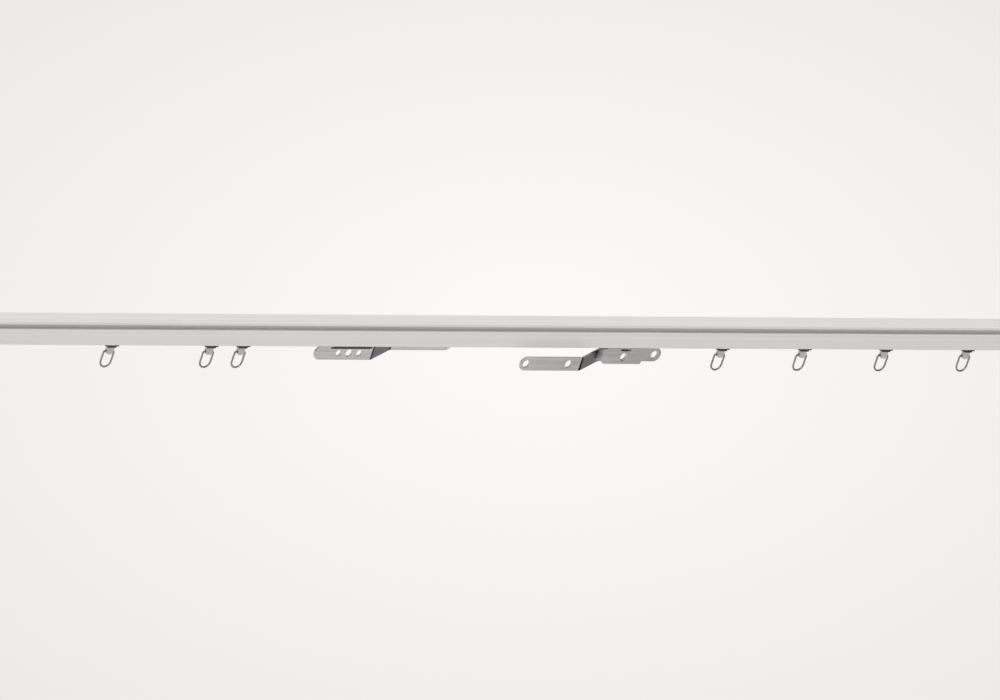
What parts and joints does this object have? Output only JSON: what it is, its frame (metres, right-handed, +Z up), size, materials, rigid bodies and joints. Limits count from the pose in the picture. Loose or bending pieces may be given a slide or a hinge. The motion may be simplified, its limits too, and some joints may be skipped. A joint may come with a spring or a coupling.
{
  "type": "curtain track",
  "caption": "Slotted ceiling rail with wheeled runners that hang wire loops, and a pair of overlap carriers with cranked, drilled metal arms for curtains that draw to the middle.",
  "frame": {"origin": "centre of the rail's flat top face", "axes": "+X along the rail to the right, +Y to the back, +Z up; the front faces -Y"},
  "size_m": [1.104, 0.0336, 0.0414],
  "materials": {
    "rail_metal": "satin light grey coat",
    "cap_plastic": "moulded, fine grain",
    "runner_plastic": "moulded",
    "dark_plastic": "moulded, dark",
    "wheel_plastic": "turned smooth",
    "steel_pin": "plain bright",
    "loop_wire": "drawn wire, bright",
    "arm_steel": "zinc plated, satin"
  },
  "bodies": {
    "rail": {"rail": "rail_metal", "left_end_cap": "cap_plastic", "right_end_cap": "cap_plastic"},
    "runner_1": {"runner_1_body": "runner_plastic", "runner_1_guide_shoe": "dark_plastic"},
    "runner_1_wheelset": {"runner_1_axle": "steel_pin", "runner_1_wheels": "wheel_plastic"},
    "runner_1_loop": {"runner_1_loop": "loop_wire"},
    "runner_2": {"runner_2_body": "runner_plastic", "runner_2_guide_shoe": "dark_plastic"},
    "runner_2_wheelset": {"runner_2_axle": "steel_pin", "runner_2_wheels": "wheel_plastic"},
    "runner_2_loop": {"runner_2_loop": "loop_wire"},
    "runner_3": {"runner_3_body": "runner_plastic", "runner_3_guide_shoe": "dark_plastic"},
    "runner_3_wheelset": {"runner_3_axle": "steel_pin", "runner_3_wheels": "wheel_plastic"},
    "runner_3_loop": {"runner_3_loop": "loop_wire"},
    "runner_4": {"runner_4_body": "runner_plastic", "runner_4_guide_shoe": "dark_plastic"},
    "runner_4_wheelset": {"runner_4_axle": "steel_pin", "runner_4_wheels": "wheel_plastic"},
    "runner_4_loop": {"runner_4_loop": "loop_wire"},
    "runner_5": {"runner_5_body": "runner_plastic", "runner_5_guide_shoe": "dark_plastic"},
    "runner_5_wheelset": {"runner_5_axle": "steel_pin", "runner_5_wheels": "wheel_plastic"},
    "runner_5_loop": {"runner_5_loop": "loop_wire"},
    "runner_6": {"runner_6_body": "runner_plastic", "runner_6_guide_shoe": "dark_plastic"},
    "runner_6_wheelset": {"runner_6_axle": "steel_pin", "runner_6_wheels": "wheel_plastic"},
    "runner_6_loop": {"runner_6_loop": "loop_wire"},
    "runner_7": {"runner_7_body": "runner_plastic", "runner_7_guide_shoe": "dark_plastic"},
    "runner_7_wheelset": {"runner_7_axle": "steel_pin", "runner_7_wheels": "wheel_plastic"},
    "runner_7_loop": {"runner_7_loop": "loop_wire"},
    "left_carrier": {"left_carrier_chassis": "dark_plastic", "left_carrier_hanger": "arm_steel", "left_carrier_arm": "arm_steel", "left_carrier_rivets": "steel_pin"},
    "left_carrier_outer_wheelset": {"left_carrier_outer_axle": "steel_pin", "left_carrier_outer_wheels": "wheel_plastic"},
    "left_carrier_inner_wheelset": {"left_carrier_inner_axle": "steel_pin", "left_carrier_inner_wheels": "wheel_plastic"},
    "right_carrier": {"right_carrier_chassis": "dark_plastic", "right_carrier_hanger": "arm_steel", "right_carrier_arm": "arm_steel", "right_carrier_rivets": "steel_pin"},
    "right_carrier_outer_wheelset": {"right_carrier_outer_axle": "steel_pin", "right_carrier_outer_wheels": "wheel_plastic"},
    "right_carrier_inner_wheelset": {"right_carrier_inner_axle": "steel_pin", "right_carrier_inner_wheels": "wheel_plastic"}
  },
  "joints": [
    {"name": "runner_1_slide", "type": "slide", "parent": "rail", "child": "runner_1", "axis": [1, 0, 0], "range_m": [-0.1474, 0.0401]},
    {"name": "runner_1_wheelset_turn", "type": "hinge", "parent": "runner_1", "child": "runner_1_wheelset", "pos_m": [-0.3729, 0, -0.01355], "axis": [0, 1, 0], "continuous": true},
    {"name": "runner_1_loop_swing", "type": "hinge", "parent": "runner_1", "child": "runner_1_loop", "pos_m": [-0.3729, 0, -0.0277], "axis": [1, 0, 0], "range_deg": [-75, 75]},
    {"name": "runner_2_slide", "type": "slide", "parent": "rail", "child": "runner_2", "axis": [1, 0, 0], "range_m": [-0.0401, 0.0078]},
    {"name": "runner_2_wheelset_turn", "type": "hinge", "parent": "runner_2", "child": "runner_2_wheelset", "pos_m": [-0.27792, 0, -0.01355], "axis": [0, 1, 0], "continuous": true},
    {"name": "runner_2_loop_swing", "type": "hinge", "parent": "runner_2", "child": "runner_2_loop", "pos_m": [-0.27792, 0, -0.0277], "axis": [1, 0, 0], "range_deg": [-75, 75]},
    {"name": "runner_3_slide", "type": "slide", "parent": "rail", "child": "runner_3", "axis": [1, 0, 0], "range_m": [-0.0078, 0.0317]},
    {"name": "runner_3_wheelset_turn", "type": "hinge", "parent": "runner_3", "child": "runner_3_wheelset", "pos_m": [-0.24761, 0, -0.01355], "axis": [0, 1, 0], "continuous": true},
    {"name": "runner_3_loop_swing", "type": "hinge", "parent": "runner_3", "child": "runner_3_loop", "pos_m": [-0.24761, 0, -0.0277], "axis": [1, 0, 0], "range_deg": [-75, 75]},
    {"name": "runner_4_slide", "type": "slide", "parent": "rail", "child": "runner_4", "axis": [1, 0, 0], "range_m": [-0.0253, 0.033]},
    {"name": "runner_4_wheelset_turn", "type": "hinge", "parent": "runner_4", "child": "runner_4_wheelset", "pos_m": [0.2184, 0, -0.01355], "axis": [0, 1, 0], "continuous": true},
    {"name": "runner_4_loop_swing", "type": "hinge", "parent": "runner_4", "child": "runner_4_loop", "pos_m": [0.2184, 0, -0.0277], "axis": [1, 0, 0], "range_deg": [-75, 75]},
    {"name": "runner_5_slide", "type": "slide", "parent": "rail", "child": "runner_5", "axis": [1, 0, 0], "range_m": [-0.033, 0.033]},
    {"name": "runner_5_wheelset_turn", "type": "hinge", "parent": "runner_5", "child": "runner_5_wheelset", "pos_m": [0.2992, 0, -0.01355], "axis": [0, 1, 0], "continuous": true},
    {"name": "runner_5_loop_swing", "type": "hinge", "parent": "runner_5", "child": "runner_5_loop", "pos_m": [0.2992, 0, -0.0277], "axis": [1, 0, 0], "range_deg": [-75, 75]},
    {"name": "runner_6_slide", "type": "slide", "parent": "rail", "child": "runner_6", "axis": [1, 0, 0], "range_m": [-0.033, 0.0334]},
    {"name": "runner_6_wheelset_turn", "type": "hinge", "parent": "runner_6", "child": "runner_6_wheelset", "pos_m": [0.37988, 0, -0.01355], "axis": [0, 1, 0], "continuous": true},
    {"name": "runner_6_loop_swing", "type": "hinge", "parent": "runner_6", "child": "runner_6_loop", "pos_m": [0.37988, 0, -0.0277], "axis": [1, 0, 0], "range_deg": [-75, 75]},
    {"name": "runner_7_slide", "type": "slide", "parent": "rail", "child": "runner_7", "axis": [1, 0, 0], "range_m": [-0.0334, 0.059]},
    {"name": "runner_7_wheelset_turn", "type": "hinge", "parent": "runner_7", "child": "runner_7_wheelset", "pos_m": [0.46139, 0, -0.01355], "axis": [0, 1, 0], "continuous": true},
    {"name": "runner_7_loop_swing", "type": "hinge", "parent": "runner_7", "child": "runner_7_loop", "pos_m": [0.46139, 0, -0.0277], "axis": [1, 0, 0], "range_deg": [-75, 75]},
    {"name": "left_carrier_slide", "type": "slide", "parent": "rail", "child": "left_carrier", "axis": [1, 0, 0], "range_m": [-0.0317, 0.1107]},
    {"name": "left_carrier_outer_wheelset_turn", "type": "hinge", "parent": "left_carrier", "child": "left_carrier_outer_wheelset", "pos_m": [-0.15644, 0, -0.01355], "axis": [0, 1, 0], "continuous": true},
    {"name": "left_carrier_inner_wheelset_turn", "type": "hinge", "parent": "left_carrier", "child": "left_carrier_inner_wheelset", "pos_m": [-0.13044, 0, -0.01355], "axis": [0, 1, 0], "continuous": true},
    {"name": "right_carrier_slide", "type": "slide", "parent": "rail", "child": "right_carrier", "axis": [1, 0, 0], "range_m": [-0.1107, 0.0253]},
    {"name": "right_carrier_outer_wheelset_turn", "type": "hinge", "parent": "right_carrier", "child": "right_carrier_outer_wheelset", "pos_m": [0.13603, 0, -0.01355], "axis": [0, 1, 0], "continuous": true},
    {"name": "right_carrier_inner_wheelset_turn", "type": "hinge", "parent": "right_carrier", "child": "right_carrier_inner_wheelset", "pos_m": [0.11003, 0, -0.01355], "axis": [0, 1, 0], "continuous": true}
  ],
  "couplings": [
    {"joint": "runner_1_wheelset_turn", "follows": "runner_1_slide", "rad_per_m": 250},
    {"joint": "runner_2_wheelset_turn", "follows": "runner_2_slide", "rad_per_m": 250},
    {"joint": "runner_3_wheelset_turn", "follows": "runner_3_slide", "rad_per_m": 250},
    {"joint": "runner_4_wheelset_turn", "follows": "runner_4_slide", "rad_per_m": 250},
    {"joint": "runner_5_wheelset_turn", "follows": "runner_5_slide", "rad_per_m": 250},
    {"joint": "runner_6_wheelset_turn", "follows": "runner_6_slide", "rad_per_m": 250},
    {"joint": "runner_7_wheelset_turn", "follows": "runner_7_slide", "rad_per_m": 250},
    {"joint": "left_carrier_outer_wheelset_turn", "follows": "left_carrier_slide", "rad_per_m": 250},
    {"joint": "left_carrier_inner_wheelset_turn", "follows": "left_carrier_slide", "rad_per_m": 250},
    {"joint": "right_carrier_outer_wheelset_turn", "follows": "right_carrier_slide", "rad_per_m": 250},
    {"joint": "right_carrier_inner_wheelset_turn", "follows": "right_carrier_slide", "rad_per_m": 250}
  ]
}
